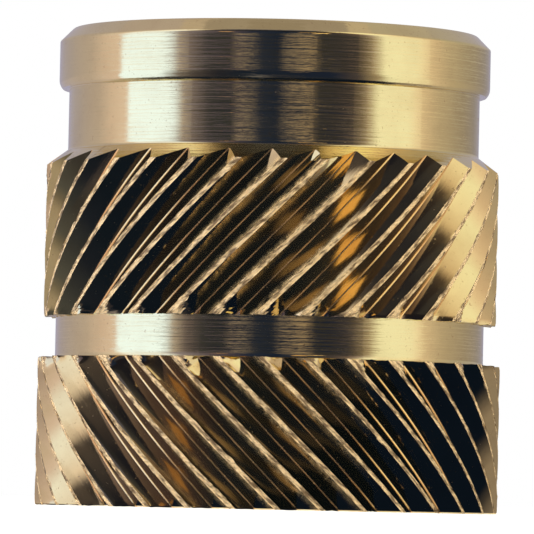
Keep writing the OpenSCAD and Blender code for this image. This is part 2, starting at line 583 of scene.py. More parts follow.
def add_thread(bm, bore_r, thread_r, pitch, low_z, high_z, mouth_r):
    """A tapped hole from low_z to high_z, cut back to a 90 degree countersink at each end.

    The thread's root crosses height 0 at the angle THREAD_START.
    """
    before = set(bm.verts)
    one_turn, root_middle = thread_turn(bore_r, thread_r, pitch)
    start_z = -pitch - root_middle - pitch * THREAD_START / (2 * pi)
    verts = [
        bm.verts.new((radius, 0, start_z + turn * pitch + height))
        for turn in range(ceil((high_z - low_z) / pitch) + SPARE_TURNS)
        for height, radius in one_turn
    ]
    edges = [bm.edges.new(pair) for pair in zip(verts, verts[1:])]
    bmesh.ops.spin(
        bm, geom=verts + edges, axis=(0, 0, 1), dvec=(0, 0, pitch / THREAD_COLUMNS),
        angle=2 * pi, steps=THREAD_COLUMNS,
    )
    bmesh.ops.remove_doubles(bm, verts=added_to(bm, before)[0], dist=TOUCHING)
    for height, outwards in ((low_z, -1), (high_z, 1)):
        verts, edges, faces = added_to(bm, before)
        bmesh.ops.bisect_plane(
            bm, geom=verts + edges + faces, dist=TOUCHING / 10, plane_co=(0, 0, height),
            plane_no=(0, 0, outwards), clear_outer=True,
        )
    for vert in added_to(bm, before)[0]:
        radius = hypot(vert.co.x, vert.co.y)
        from_end = min(vert.co.z - low_z, high_z - vert.co.z)
        wanted = max(radius, mouth_r - from_end)
        vert.co.x *= wanted / radius
        vert.co.y *= wanted / radius


def map_grain(bm, knurls):
    """Lays the grain map: along and across the teeth on a knurl, around and along elsewhere."""
    grain = bm.loops.layers.uv[GRAIN_MAP]
    for face in bm.faces:
        middle = face.calc_center_median()
        middle_angle = atan2(middle.y, middle.x)
        on_teeth = face.material_index in (FLANK, ROOT, CREST)
        knurl = next((k for k in knurls if on_teeth and middle.z < k.top_z), None)
        for loop in face.loops:
            co = loop.vert.co
            angle = atan2(co.y, co.x)
            angle += 2 * pi * round((middle_angle - angle) / (2 * pi))
            if knurl:
                unturned = angle - knurl.turn_per_mm * (co.z - knurl.low_z)
                loop[grain].uv = (co.z * ALONG_TEETH, unturned * knurl.band_r)
            else:
                loop[grain].uv = (angle * GRAIN_R, co.z + INWARDS * hypot(co.x, co.y))


def paint_faces(bm, trailing, leading, cone_height, bore_limit):
    """Gives each face the material of its region."""
    across = bm.verts.layers.float[ACROSS]
    for face in bm.faces:
        face.smooth = True
        middle = face.calc_center_median()
        radius = hypot(middle.x, middle.y)
        on_trailing = middle.z < trailing.high_z
        on_leading = leading.low_z < middle.z < cone_height(radius) - MARGIN
        places = [abs(v[across]) for v in face.verts]
        if radius < bore_limit:
            face.material_index = BORE
        elif abs(face.normal.z) > END_FACE or not (on_trailing or on_leading):
            face.material_index = TURNED
        elif min(places) > CREST_FROM:
            face.material_index = CREST
        else:
            face.material_index = ROOT if max(places) < FLANK_STOPS[1] else FLANK


def make_body(sizes, wear_settings):
    """The whole insert as one closed mesh, in metres."""
    mm, wear = in_mm(sizes), in_mm(wear_settings)
    height = (HIGH.z - LOW.z) / MM
    relief_z = mm.trailing_band_length
    band_z = relief_z + mm.relief_length
    cone_z = band_z + mm.leading_band_length
    neck_z = cone_z + mm.lead_in_length
    relief_r = mm.relief_d / 2
    mouth_r = (mm.thread_d + mm.countersink_over) / 2
    rim_r = mouth_r + wear.edge_break
    trailing = Knurl(
        mm.trailing_band_d / 2, mm.trailing_groove_depth + wear.rolled_deeper, sizes.trailing_teeth,
        0.0, relief_z, -1, TRAILING_START, sizes,
    )
    leading = Knurl(
        mm.leading_band_d / 2, mm.leading_groove_depth + wear.rolled_deeper, sizes.leading_teeth,
        band_z, cone_z, 1, LEADING_START, sizes,
    )
    cone_slope = mm.lead_in_length / (leading.band_r - mm.neck_d / 2)

    def cone_height(radius):
        return cone_z + (leading.band_r - radius) * cone_slope

    bm = bmesh.new()
    across = bm.verts.layers.float.new(ACROSS)
    bm.loops.layers.uv.new(GRAIN_MAP)

    band = add_knurl(bm, trailing, TRAILING_LEVELS)
    low_ring = open_ring(bm, trailing.low_z)
    high_ring = open_ring(bm, trailing.high_z)
    wear_knurl(trailing, band, across, wear, relief_r, relief_z)
    foot_ring = carry_ring(bm, low_ring, [(trailing.root_r - INSIDE_ROOTS, 0.0), (rim_r, 0.0)])
    relief_low = carry_ring(bm, high_ring, relief_corner(relief_r, relief_z))

    band = add_knurl(bm, leading, LEADING_LEVELS)
    low_ring = open_ring(bm, leading.low_z)
    high_ring = open_ring(bm, leading.high_z)
    wear_knurl(leading, band, across, wear, relief_r, band_z, cone_height)
    relief_high = carry_ring(bm, low_ring, [(relief_r, band_z), (relief_r, band_z - HOLD)])
    bmesh.ops.bridge_loops(bm, edges=relief_low + relief_high)
    head_ring = carry_ring(bm, high_ring, head_outline(mm, neck_z, height, rim_r))

    low_z, high_z = wear.edge_break, height - wear.edge_break
    add_thread(bm, mm.bore_d / 2, mm.thread_d / 2, mm.thread_pitch, low_z, high_z, mouth_r)
    bmesh.ops.bridge_loops(bm, edges=foot_ring + open_ring(bm, low_z))
    bmesh.ops.bridge_loops(bm, edges=head_ring + open_ring(bm, high_z))

    bmesh.ops.recalc_face_normals(bm, faces=bm.faces)
    if bm.calc_volume(signed=True) < 0:
        bmesh.ops.reverse_faces(bm, faces=bm.faces)
    bm.normal_update()
    paint_faces(bm, trailing, leading, cone_height, mouth_r - MARGIN)
    map_grain(bm, (trailing, leading))
    bmesh.ops.scale(bm, vec=(MM, MM, MM), verts=bm.verts)
    mesh = bpy.data.meshes.new("insert_body")
    bm.to_mesh(mesh)
    bm.free()
    mesh.set_sharp_from_angle(angle=SHARP_FROM)
    return mesh


# ---------------------------------------------------------------------------------------------
# Materials
# ---------------------------------------------------------------------------------------------


# How many patches of turning marks, turning scratches, blotches and specks lie in a metre.
PATCHES_PER_M, SCRATCHES_PER_M, BLOTCHES_PER_M, SPECKS_PER_M = 900.0, 1600.0, 1400.0, 22000.0
SCUFF_AND_SHEEN_PATCHES_PER_M = 1 / 1.1e-4  # beside the crests, where they are scuffed and carry a painted golden sheen
SCRATCH_FINENESS, SCRATCH_DEPTH = 1.3, 0.9  # of turning scratches, against the marks they cross
SPECK_STAIN = 0.35  # how far a speck is stained
TURNED_SPECKS, ROLLED_SPECKS = 0.1, 0.2  # how much rougher a speck is, on each kind of brass
# How far in front of the axis the scuffed edges and their painted golden sheen start, and where they are
# full.
WEAR_AND_SHEEN_FROM, WEAR_AND_SHEEN_FULL = 3.15 * MM, 3.42 * MM
WEAR_AND_SHEEN_PLACE, WEAR_AND_SHEEN_CURVE = 0.55, 1.5  # the share of a flank from which it is scuffed and carries painted sheen, and how sharply
WEAR_AND_SHEEN_METALLIC, WORN_ROUGHER = 0.6, 0.3  # how metallic, and how much rougher, the scuffed edges with their painted sheen are
TORN_SHADE_PER_MM, TORN_SHADE_LENGTH = 12.0, 2.6  # patches of painted shade where the crests' metal is torn, and how long they are
TORN_SHADE_FROM, TORN_SHADE_FULL = 0.44, 0.6  # the noise between which they darken
# The colour of that painted shade.
TORN_SHADE_COLOUR = (0.12, 0.07, 0.035)
TORN_HEIGHT = 1.6  # how high torn metal stands, against turning marks


def new_group(name, inputs, outputs):
    """A shader node group with named sockets, and its input and output nodes."""
    group = bpy.data.node_groups.new(name, "ShaderNodeTree")
    for in_out, sockets in (("INPUT", inputs), ("OUTPUT", outputs)):
        for socket, kind, default in sockets:
            made = group.interface.new_socket(name=socket, in_out=in_out, socket_type=f"NodeSocket{kind}")
            if default is not None:
                made.default_value = default
    return group, group.nodes.new("NodeGroupInput"), group.nodes.new("NodeGroupOutput")


def add_node(tree, kind, settings=None, **inputs):
    """A node of a kind, with its settings and the values or links of its inputs by name or number."""
    node = tree.nodes.new(f"ShaderNode{kind}")
    for name, value in (settings or {}).items():
        setattr(node, name, value)
    for name, value in inputs.items():
        key = int(name[1:]) if name[0] == "_" else name.replace("_", " ")
        if isinstance(value, bpy.types.NodeSocket):
            tree.links.new(value, node.inputs[key])
        else:
            node.inputs[key].default_value = value
    return node


def empty_tree(owner):
    """The cleared node tree of a material or a world."""
    owner.use_nodes = True
    owner.node_tree.nodes.clear()
    return owner.node_tree


def place_group(tree, name, **inputs):
    """The outputs of a node group that is placed in a tree."""
    return add_node(tree, "Group", {"node_tree": bpy.data.node_groups[name]}, **inputs).outputs


def bump_node(tree, height, distance):
    """The normal of a relief, whose height is in units of the distance."""
    return add_node(tree, "Bump", None, Strength=1.0, Distance=distance, Height=height).outputs[0]


def math_node(tree, operation, *values, clamp=False):
    """The result of a Math node."""
    inputs = {f"_{i}": value for i, value in enumerate(values)}
    return add_node(tree, "Math", {"operation": operation, "use_clamp": clamp}, **inputs).outputs[0]


def noise_node(tree, vector, scale, detail=2.0, rough=0.5):
    """The value of a noise texture."""
    node = add_node(tree, "TexNoise", None, Vector=vector, Scale=scale, Detail=detail, Roughness=rough)
    return node.outputs["Fac"]


def stretch(tree, value, low, high, to_low=0.0, to_high=1.0):
    """A value's range from low to high, stretched over another and held inside it."""
    node = add_node(
        tree, "MapRange", {"clamp": True}, _0=value, _1=low, _2=high, _3=to_low, _4=to_high
    )
    return node.outputs[0]


def mix_colours(tree, share, first, second):
    """The first colour blended towards the second one."""
    node = add_node(
        tree, "Mix", {"data_type": "RGBA", "blend_type": "MIX"}, _0=share, _6=first, _7=second
    )
    return node.outputs[2]


def turning_marks_group():
    """Rings that a turning tool leaves: their height, and a mask of the rougher ones."""
    group, entry, leave = new_group(
        "Turning marks",
        [("Spacing", "Float", 4.6e-5), ("Patchiness", "Float", 0.5)],
        [("Height", "Float", None), ("Streaks", "Float", None)],
    )
    place = add_node(group, "TexCoord").outputs["Object"]
    x, y, z = add_node(group, "SeparateXYZ", None, _0=place).outputs
    square = math_node(group, "MULTIPLY", x, x)
    radius = math_node(group, "SQRT", math_node(group, "MULTIPLY_ADD", y, y, square))
    # On a cone or a face the marks go on inwards, so the radius counts too.
    along = math_node(group, "MULTIPLY_ADD", radius, INWARDS, z)
    turns = math_node(group, "DIVIDE", along, entry.outputs["Spacing"])
    rings = add_node(
        group, "TexNoise", {"noise_dimensions": "1D"}, W=turns, Scale=1.0, Detail=1.0, Roughness=0.5
    ).outputs["Fac"]
    # Scratches run along the rings for a short way only.
    drawn_x = math_node(group, "MULTIPLY", x, SCRATCHES_PER_M)
    drawn_y = math_node(group, "MULTIPLY", y, SCRATCHES_PER_M)
    drawn = add_node(group, "CombineXYZ", None, _0=drawn_x, _1=drawn_y, _2=turns).outputs[0]
    scratches = noise_node(group, drawn, SCRATCH_FINENESS, detail=3.0, rough=0.65)
    patches = stretch(group, noise_node(group, place, PATCHES_PER_M), 0.35, 0.65)
    patchy = math_node(group, "MULTIPLY", patches, entry.outputs["Patchiness"])
    amount = math_node(group, "SUBTRACT", 1.0, patchy)
    both = math_node(group, "MULTIPLY_ADD", scratches, SCRATCH_DEPTH, rings)
    height = math_node(group, "MULTIPLY", both, amount)
    streaks = math_node(group, "MULTIPLY", stretch(group, scratches, 0.5, 0.68), amount)
    group.links.new(height, leave.inputs["Height"])
    group.links.new(streaks, leave.inputs["Streaks"])
    return group


def patina_group():
    """Brass with soft blotches of tarnish and tiny specks."""
    group, entry, leave = new_group(
        "Brass patina",
        [
            ("Brass", "Color", (0.88, 0.74, 0.40, 1)),
            ("Tarnish", "Color", (0.5, 0.32, 0.16, 1)),
            ("Amount", "Float", 0.3),
            ("Pits", "Float", 0.0),
        ],
        [("Color", "Color", None), ("Specks", "Float", None)],
    )
    place = add_node(group, "TexCoord").outputs["Object"]
    blotches = stretch(group, noise_node(group, place, BLOTCHES_PER_M, 4.0, 0.6), 0.45, 0.75)
    fine = stretch(group, noise_node(group, place, SPECKS_PER_M, 1.0), 0.68, 0.76)
    stain = math_node(group, "MULTIPLY", blotches, entry.outputs["Amount"])
    stain = math_node(group, "MULTIPLY_ADD", fine, SPECK_STAIN, stain, clamp=True)
    colour = mix_colours(group, stain, entry.outputs["Brass"], entry.outputs["Tarnish"])
    # Patches of painted shade where torn metal lies.
    colour = mix_colours(group, entry.outputs["Pits"], colour, (*TORN_SHADE_COLOUR, 1))
    group.links.new(colour, leave.inputs["Color"])
    group.links.new(fine, leave.inputs["Specks"])
    return group


def worn_edges_and_sheen_group():
    """A mask of the flanks' edges on the insert's front, scuffed rougher by handling and painted with a
    golden sheen.
    """
    group, _, leave = new_group("Worn edges and painted sheen", [], [("Mask", "Float", None)])
    across = add_node(group, "Attribute", {"attribute_name": ACROSS}).outputs["Fac"]
    place = add_node(group, "TexCoord").outputs["Object"]
    towards_back = add_node(group, "SeparateXYZ", None, _0=place).outputs[1]
    beside_land = math_node(group, "POWER", stretch(group, across, WEAR_AND_SHEEN_PLACE, 1.0), WEAR_AND_SHEEN_CURVE)
    # Only the front carries the scuffs and their painted golden sheen.
    at_front = stretch(group, towards_back, -WEAR_AND_SHEEN_FROM, -WEAR_AND_SHEEN_FULL)
    scuff_and_sheen_patches = stretch(group, noise_node(group, place, SCUFF_AND_SHEEN_PATCHES_PER_M, 3.0, 0.6), 0.3, 0.7)
    mask = math_node(group, "MULTIPLY", math_node(group, "MULTIPLY", beside_land, at_front), scuff_and_sheen_patches)
    group.links.new(mask, leave.inputs["Mask"])
    return group


def drag_lines_group():
    """Lines that rolling draws along a groove or over a crest, read from the grain map."""
    group, entry, leave = new_group(
        "Drag lines",
        [("Fineness", "Float", 60.0), ("Length", "Float", 4.0)],
        [("Height", "Float", None), ("Mask", "Float", None)],
    )
    grain = add_node(group, "UVMap", {"uv_map": GRAIN_MAP}).outputs[0]
    parts = add_node(group, "SeparateXYZ", None, _0=grain)
    along = math_node(group, "DIVIDE", parts.outputs[0], entry.outputs["Length"])
    drawn = add_node(group, "CombineXYZ", None, _0=along, _1=parts.outputs[1], _2=0.0).outputs[0]
    lines = add_node(
        group, "TexNoise", None, Vector=drawn, Scale=entry.outputs["Fineness"], Detail=3.0, Roughness=0.6
    ).outputs["Fac"]
    group.links.new(lines, leave.inputs["Height"])
    group.links.new(stretch(group, lines, 0.55, 0.7), leave.inputs["Mask"])
    return group


def brass_material(
    name, finish, colour, roughness, tarnish, build_relief, metallic=1.0, pits=0.0, worn_and_sheen=False
):
    """Metal whose colour carries the patina.

    build_relief(tree, specks) gives the change of roughness and the normal. The next to last argument
    sets how dark the painted shade of torn metal is, and the last one scuffs the edges beside the crests
    rougher and paints a golden sheen on them, on the insert's front.
    """
    material = bpy.data.materials.new(name)
    tree = empty_tree(material)
    if pits:
        # Dark patches of painted shade where the crests' metal is torn.
        torn = place_group(tree, "Drag lines", Fineness=TORN_SHADE_PER_MM, Length=TORN_SHADE_LENGTH)
        pits = stretch(tree, torn["Height"], TORN_SHADE_FROM, TORN_SHADE_FULL, 0.0, pits)
    patina = place_group(
        tree, "Brass patina",
        Brass=(*colour, 1), Tarnish=(*finish.tarnish, 1), Amount=tarnish, Pits=pits,
    )
    base = patina["Color"]
    change, normal = build_relief(tree, patina["Specks"])
    if worn_and_sheen:
        # The scuffed edges of the flanks on the insert's front are rougher and carry a painted golden
        # sheen.
        mask = place_group(tree, "Worn edges and painted sheen")["Mask"]
        base = mix_colours(tree, mask, base, (*finish.worn_brass, 1))
        metallic = stretch(tree, mask, 0.0, 1.0, metallic, WEAR_AND_SHEEN_METALLIC)
        change = math_node(tree, "MULTIPLY_ADD", mask, WORN_ROUGHER, change)
    shader = add_node(
        tree, "BsdfPrincipled", None,
        Base_Color=base, Metallic=metallic,
        Roughness=math_node(tree, "ADD", change, roughness, clamp=True), Normal=normal,
    )
    add_node(tree, "OutputMaterial", None, Surface=shader.outputs[0])
    return material


def marks_relief(finish, distance, patchiness, rough_gain):
    """A relief of turning marks."""

    def build(tree, specks):
        marks = place_group(
            tree, "Turning marks", Spacing=finish.mark_spacing, Patchiness=patchiness
        )
        normal = bump_node(tree, marks["Height"], distance)
        change = math_node(tree, "MULTIPLY", marks["Streaks"], rough_gain)
        return math_node(tree, "MULTIPLY_ADD", specks, TURNED_SPECKS, change), normal

    return build


def torn_relief(finish, distance, grit, rough_gain):
    """A relief of turning marks broken up by fine torn metal, of a grit in metres."""

    def build(tree, _specks):
        marks = place_group(tree, "Turning marks", Spacing=finish.mark_spacing, Patchiness=0.2)
        place = add_node(tree, "TexCoord").outputs["Object"]
        torn = noise_node(tree, place, 1 / grit, 3.0, 0.6)
        height = math_node(tree, "MULTIPLY_ADD", torn, TORN_HEIGHT, marks["Height"])
        normal = bump_node(tree, height, distance)
        return math_node(tree, "MULTIPLY", marks["Streaks"], rough_gain), normal

    return build


def drag_relief(distance, fineness, drawn, rough_gain):
    """A relief of drag lines along the teeth."""

    def build(tree, specks):
        lines = place_group(tree, "Drag lines", Fineness=fineness, Length=drawn)
        normal = bump_node(tree, lines["Height"], distance)
        change = math_node(tree, "MULTIPLY", lines["Mask"], rough_gain)
        return math_node(tree, "MULTIPLY_ADD", specks, ROLLED_SPECKS, change), normal

    return build


def make_materials(finish):
    """The brass of each region, in the order of the mesh's material slots."""
    turning_marks_group()
    patina_group()
    drag_lines_group()
    worn_edges_and_sheen_group()
    return [
        brass_material(
            "turned_brass", finish, finish.brass, finish.turned_roughness, tarnish=0.18,
            build_relief=marks_relief(finish, distance=2.8e-6, patchiness=0.6, rough_gain=0.16),
        ),
        # The flanks carry a painted golden sheen on their front edges, where they are also scuffed
        # rougher.
        brass_material(
            "rolled_flank_brass", finish, finish.rolled_brass, finish.flank_roughness, tarnish=0.3,
            build_relief=drag_relief(distance=0.4e-6, fineness=22.0, drawn=6.0, rough_gain=0.06),
            worn_and_sheen=True,
        ),
        brass_material(
            "groove_root_brass", finish, finish.root_brass, finish.flank_roughness + 0.1, tarnish=0.2,
            build_relief=drag_relief(distance=0.4e-6, fineness=22.0, drawn=6.0, rough_gain=0.08),
            metallic=0.92,
        ),
        # The crests carry patches of painted shade where their metal is torn.
        brass_material(
            "crest_brass", finish, finish.crest_brass, finish.crest_roughness, tarnish=0.1,
            build_relief=torn_relief(finish, distance=2.4e-5, grit=4.5e-5, rough_gain=0.1),
            metallic=0.5, pits=0.85,
        ),
        brass_material(
            "tapped_brass", finish, finish.brass, finish.turned_roughness + 0.08, tarnish=0.25,
            build_relief=marks_relief(finish, distance=1.0e-6, patchiness=0.5, rough_gain=0.1),
        ),
    ]


# ---------------------------------------------------------------------------------------------
# The studio
# ---------------------------------------------------------------------------------------------

# The light tent is made of rings. Each has its lowest and highest elevation in degrees, and stops
# of (azimuth in degrees, red, green, blue), between which its glow blends. Azimuth 0 is the
# camera's side, and 90 the insert's right. Some rings share their stops at the left or right.
LOW_LEFT = (
    (-180, 0.41, 0.4, 0.55), (-115, 0.52, 0.46, 0.53), (-90, 0.78, 0.66, 0.75), (-88, 1.0, 1.3, 2.0),
)
HIGH_LEFT = (
    (-180, 0.47, 0.42, 0.46), (-115, 0.48, 0.43, 0.5), (-96, 0.7, 0.63, 0.67), (-88, 0.88, 0.8, 0.92),
)
HIGH_RIGHT = (
    (78, 1.12, 1.18, 0.97), (86, 1.02, 0.9, 0.76), (93, 0.8, 0.66, 0.56), (105, 0.58, 0.51, 0.44),
    (120, 0.48, 0.45, 0.42), (180, 0.47, 0.42, 0.46),
)
FLOOR_LEFT = (
    (-180, 0.4, 0.39, 0.42), (-87, 0.44, 0.4, 0.36), (-82, 0.19, 0.18, 0.17), (-78, 0.1, 0.11, 0.13),
)
TENT_RINGS = {
    # What the turned faces see: two softboxes with dark cloth between them, and two dim gaps in it.
    "level_ring": ((1.0, 6.8), (
        (-180, 0.41, 0.4, 0.55), (-140, 0.42, 0.39, 0.49), (-115, 0.52, 0.46, 0.53),
        (-102, 0.7, 0.58, 0.64), (-90, 0.78, 0.66, 0.75), (-88, 1.0, 1.3, 2.0), (-58, 1.0, 1.3, 2.0),
        (-52, 0.48, 0.43, 0.47), (-46, 0.18, 0.15, 0.19), (-36, 0.04, 0.045, 0.06),
        (-23, 0.035, 0.04, 0.05), (-20, 0.27, 0.23, 0.24), (-13, 0.22, 0.19, 0.19),
        (-8, 0.03, 0.035, 0.06), (2, 0.015, 0.02, 0.04), (6, 0.2, 0.17, 0.17), (18, 0.38, 0.3, 0.24),
        (24, 0.035, 0.035, 0.04), (42, 0.035, 0.035, 0.05), (50, 0.17, 0.14, 0.11),
        (54, 0.42, 0.35, 0.28), (60, 1.0, 1.04, 0.93), (80, 0.98, 1.02, 0.93), (87, 0.95, 0.84, 0.75),
        (90, 0.72, 0.6, 0.52), (104, 0.5, 0.43, 0.38), (130, 0.34, 0.3, 0.28), (150, 0.31, 0.29, 0.32),
        (180, 0.41, 0.4, 0.55),
    )),
    # Below it, to just under the floor.
    "low_ring": ((-1, 1.0), (
        *LOW_LEFT, (-58, 1.0, 1.3, 2.0), (-52, 0.48, 0.43, 0.47), (-44, 0.06, 0.06, 0.1),
        (-28, 0.02, 0.03, 0.08), (42, 0.02, 0.03, 0.08), (54, 0.42, 0.35, 0.28), (60, 1.0, 1.04, 0.93),
        (86, 0.95, 0.9, 0.78), (90, 0.72, 0.6, 0.52), (110, 0.48, 0.42, 0.36), (180, 0.41, 0.4, 0.55),
    )),
    # What the flanks see after a second reflection: dark cloth that pales towards the softboxes.
    "middle_ring": ((6.8, 44), (
        (-180, 0.42, 0.4, 0.5), (-115, 0.48, 0.43, 0.5), (-92, 0.82, 0.73, 0.8), (-86, 1.0, 1.15, 1.6),
        (-62, 0.9, 1.05, 1.5), (-53, 0.3, 0.28, 0.42), (-36, 0.11, 0.1, 0.17), (-25, 0.08, 0.07, 0.13),
        (-12, 0.02, 0.03, 0.08), (4, 0.01, 0.02, 0.06), (16, 0.03, 0.04, 0.08), (34, 0.055, 0.05, 0.07),
        (44, 0.12, 0.095, 0.11), (49, 0.27, 0.22, 0.23), (53, 0.47, 0.41, 0.42), (60, 1.0, 1.0, 0.9),
        (84, 1.0, 0.95, 0.8), (93, 0.8, 0.66, 0.56), (105, 0.58, 0.51, 0.44), (120, 0.46, 0.43, 0.4),
        (180, 0.42, 0.4, 0.5),
    )),
    # What the flanks see first: the softboxes' tops, and dark cloth from one to the other.
    "high_ring": ((44, 56), (
        *HIGH_LEFT, (-80, 1.08, 1.22, 1.5), (-68, 1.06, 1.12, 1.3), (-59, 0.98, 0.9, 0.93),
        (-55.5, 0.6, 0.53, 0.54), (-52.5, 0.11, 0.1, 0.12), (-47, 0.028, 0.026, 0.034),
        (-10, 0.012, 0.014, 0.03), (16, 0.014, 0.014, 0.026), (36, 0.03, 0.026, 0.03),
        (46, 0.09, 0.07, 0.06), (50, 0.45, 0.36, 0.26), (55, 0.95, 0.8, 0.6), (60, 1.09, 1.04, 0.8),
        *HIGH_RIGHT,
    )),
    # The same, for what leans a little further back.
    "upper_ring": ((56, 64), (
        *HIGH_LEFT, (-76, 1.02, 1.1, 1.3), (-66, 0.95, 0.93, 1.0), (-60, 0.84, 0.79, 0.82),
        (-56, 0.5, 0.45, 0.46), (-52.5, 0.09, 0.08, 0.09), (-10, 0.014, 0.016, 0.03),
        (16, 0.016, 0.016, 0.026), (34, 0.04, 0.034, 0.036), (42, 0.09, 0.07, 0.06),
        (45.5, 0.42, 0.33, 0.23), (49.5, 0.84, 0.7, 0.5), (60, 1.05, 0.98, 0.76), *HIGH_RIGHT,
    )),
    # What the worn edges of the flanks see, and the steepest flanks.
    "crown_ring": ((64, 70.5), (
        (-180, 0.4, 0.36, 0.38), (-90, 0.6, 0.52, 0.5), (-60, 0.42, 0.36, 0.34), (-52, 0.06, 0.056, 0.07),
        (-34, 0.03, 0.032, 0.046), (-14, 0.03, 0.032, 0.044), (-4, 0.026, 0.028, 0.042),
        (6, 0.031, 0.033, 0.046), (14, 0.04, 0.043, 0.056), (38, 0.065, 0.062, 0.066),
        (44, 0.3, 0.24, 0.17), (52, 0.76, 0.66, 0.48), (80, 0.95, 0.9, 0.72), (100, 0.6, 0.52, 0.45),
        (180, 0.4, 0.36, 0.38),
    )),
    # What the cone sees after a second reflection, and the chamfer's sides.
    "cone_ring": ((70.5, 82), (
        (-180, 0.36, 0.32, 0.32), (-80, 0.36, 0.32, 0.32), (-52, 0.12, 0.13, 0.22),
        (52, 0.12, 0.13, 0.22), (80, 0.36, 0.32, 0.32), (180, 0.36, 0.32, 0.32),
    )),
    # What the chamfer sees.
    "top_cap": ((82, 90), (
        (-180, 0.32, 0.28, 0.27), (180, 0.32, 0.28, 0.27),
    )),
}
# Warm glows that hang in front of the rings, in the same way.
TENT_LAMPS = {
    "glow_right": ((15, 24), ((20, 1.2, 0.86, 0.45), (29, 1.2, 0.86, 0.45))),
    "glow_right_high": ((25, 31), ((13, 0.7, 0.44, 0.2), (21, 0.7, 0.44, 0.2))),
    "glow_left": ((14, 23), ((-30, 0.42, 0.27, 0.18), (-23, 0.42, 0.27, 0.18))),
}
# A soft light that only matt surfaces see: it fills in rough brass and leaves polished brass dark.
FILL_LAMP = ((5, 60), (
    (-90, 0.0, 0.0, 0.0), (-75, 7.6, 6.9, 5.9), (-55, 5.6, 5.0, 4.3), (-30, 1.3, 1.15, 1.0),
    (20, 0.8, 0.72, 0.6), (45, 3.0, 2.6, 2.1), (70, 5.0, 4.4, 3.4), (90, 0.0, 0.0, 0.0),
))
LAMP_SHARE = 0.95  # how far out the lamps hang, against the rings
# Rings on the floor, with their inner and outer radius in metres.
FLOOR_RINGS = {
    "near_floor_ring": ((0.0032, 0.007), (
        *FLOOR_LEFT, (-65, 0.042, 0.05, 0.07), (-54, 0.014, 0.02, 0.042), (-42, 0.007, 0.013, 0.03),
        (30, 0.004, 0.009, 0.026), (73, 0.004, 0.009, 0.026), (80, 0.33, 0.29, 0.27),
        (110, 0.33, 0.3, 0.3), (180, 0.4, 0.39, 0.42),
    )),
    "middle_floor_ring": ((0.007, 0.0095), (
        *FLOOR_LEFT, (-65, 0.045, 0.046, 0.058), (-54, 0.07, 0.066, 0.085), (-42, 0.055, 0.052, 0.075),
        (-30, 0.03, 0.032, 0.055), (-16, 0.02, 0.028, 0.055), (-8, 0.3, 0.3, 0.4), (-2, 0.06, 0.06, 0.08),
        (30, 0.015, 0.02, 0.04), (60, 0.015, 0.02, 0.04), (78, 0.33, 0.29, 0.27), (110, 0.33, 0.3, 0.3),
        (180, 0.4, 0.39, 0.42),
    )),
    "far_floor_ring": ((0.0095, 0.3), (
        *LOW_LEFT, (-62, 1.0, 1.3, 2.0), (-52, 0.2, 0.18, 0.22), (-44, 0.085, 0.076, 0.1),
        (-31, 0.022, 0.024, 0.045), (-18, 0.012, 0.02, 0.05), (30, 0.012, 0.02, 0.06),
        (44, 0.08, 0.07, 0.09), (54, 0.36, 0.3, 0.24), (62, 1.0, 1.04, 0.93), (86, 0.95, 0.9, 0.78),
        (90, 0.72, 0.6, 0.52), (110, 0.48, 0.42, 0.36), (150, 0.31, 0.29, 0.32), (180, 0.41, 0.4, 0.55),
    )),
}
FLOOR_RING_LIFT = 2e-5  # m over the floor, so that the two don't cut through each other
RING_STEP, ARC_STEP = 2.0, 6  # degrees between a ring's cross-sections, and between their points
POLE_R = 1e-4  # m, the least radius of a ring at the tent's top
GLOW = "glow"  # the colour layer that a ring's glow is read from
# The paper as it is seen glows, and adds a grey that takes the shadow. It lights the insert as a
# plain pale grey.
FLOOR_GLOW, FLOOR_SHADED, FLOOR_PLAIN = 0.8, 0.35, 0.8
WORLD_LIGHT = 0.5  # the background's strength for matt surfaces


def glow_material():
    """Glows in the colour that each vertex of a ring carries."""
    material = bpy.data.materials.new("tent_glow")
    tree = empty_tree(material)
    colour = add_node(tree, "Attribute", {"attribute_name": GLOW}).outputs["Color"]
    glow = add_node(tree, "Emission", None, Color=colour, Strength=1.0)
    add_node(tree, "OutputMaterial", None, Surface=glow.outputs[0])
    return material


def stage_object(name, bm, material, seen):
    """A stage mesh that only the named kinds of ray can see."""
    mesh = bpy.data.meshes.new(name)
    bm.to_mesh(mesh)
    bm.free()
    mesh.materials.append(material)
    item = bpy.data.objects.new(name, mesh)
    bpy.context.scene.collection.objects.link(item)
    for ray in ("camera", "diffuse", "glossy", "transmission", "shadow"):
        setattr(item, f"visible_{ray}", ray in seen)


def glow_at(stops, azimuth):
    """The glow at an azimuth, blended between the stops on either side of it."""
    for (start, *first), (end, *last) in zip(stops, stops[1:]):
        if azimuth <= end:
            share = max(0.0, (azimuth - start) / (end - start))
            return [a + (b - a) * share for a, b in zip(first, last)]
    return stops[-1][1:]


def sweep_ring(points, stops):
    """Sweeps an arc of (radius, height) points past the azimuths of the stops."""
    bm = bmesh.new()
    glow = bm.loops.layers.float_color.new(GLOW)
    first, last = stops[0][0], stops[-1][0]
    middle = (first + last) / 2
    turn = radians(first)
    verts = [bm.verts.new((r * sin(turn), -r * cos(turn), z)) for r, z in points]
    edges = [bm.edges.new(pair) for pair in zip(verts, verts[1:])]
    steps = max(1, round((last - first) / RING_STEP))
    bmesh.ops.spin(bm, geom=verts + edges, axis=(0, 0, 1), angle=radians(last - first), steps=steps)
    for face in bm.faces:
        face.smooth = True
        centre = face.calc_center_median()
        centre_azimuth = degrees(atan2(centre.x, -centre.y))
        centre_azimuth += 360 * round((middle - centre_azimuth) / 360)
        for loop in face.loops:
            azimuth = degrees(atan2(loop.vert.co.x, -loop.vert.co.y))
            azimuth += 360 * round((centre_azimuth - azimuth) / 360)
            loop[glow] = (*glow_at(stops, azimuth), 1.0)
    return bm


